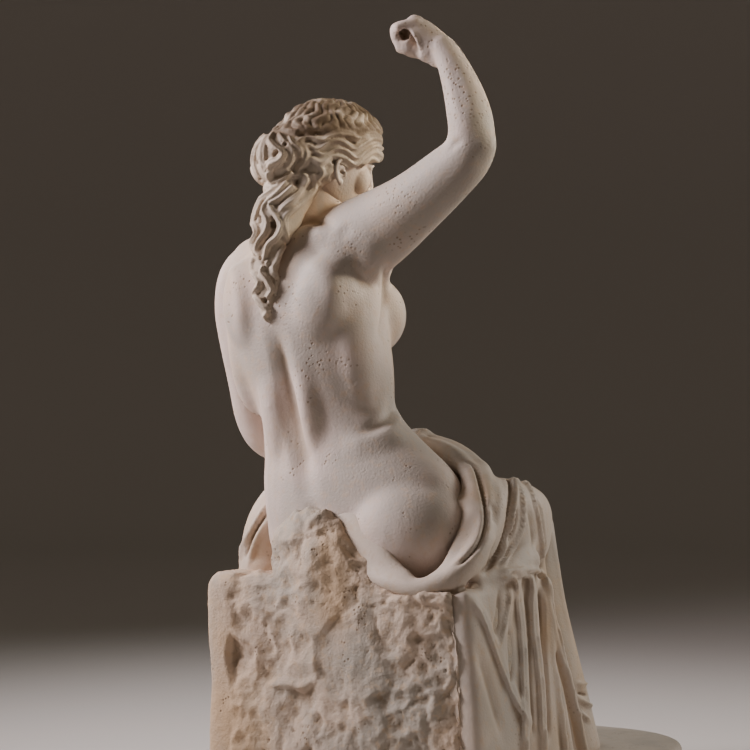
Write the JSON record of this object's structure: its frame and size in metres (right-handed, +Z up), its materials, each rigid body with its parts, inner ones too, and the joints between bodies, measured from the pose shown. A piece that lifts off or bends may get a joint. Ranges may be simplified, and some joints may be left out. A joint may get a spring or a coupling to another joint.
{
  "type": "marble statue",
  "caption": "Life-size marble figure of a seated woman with a raised arm and gathered drapery, on a roughly hewn block and a low plinth with rounded corners.",
  "frame": {"origin": "centre of the plinth's underside", "axes": "-Y is the way the figure faces, +X is towards her left, +Z is up"},
  "size_m": [0.7033, 0.97, 1.4578],
  "materials": {
    "carved_marble": "matte",
    "plinth_marble": "matte"
  },
  "bodies": {
    "root": {"seated_figure": "carved_marble", "plinth": "plinth_marble"}
  },
  "joints": []
}
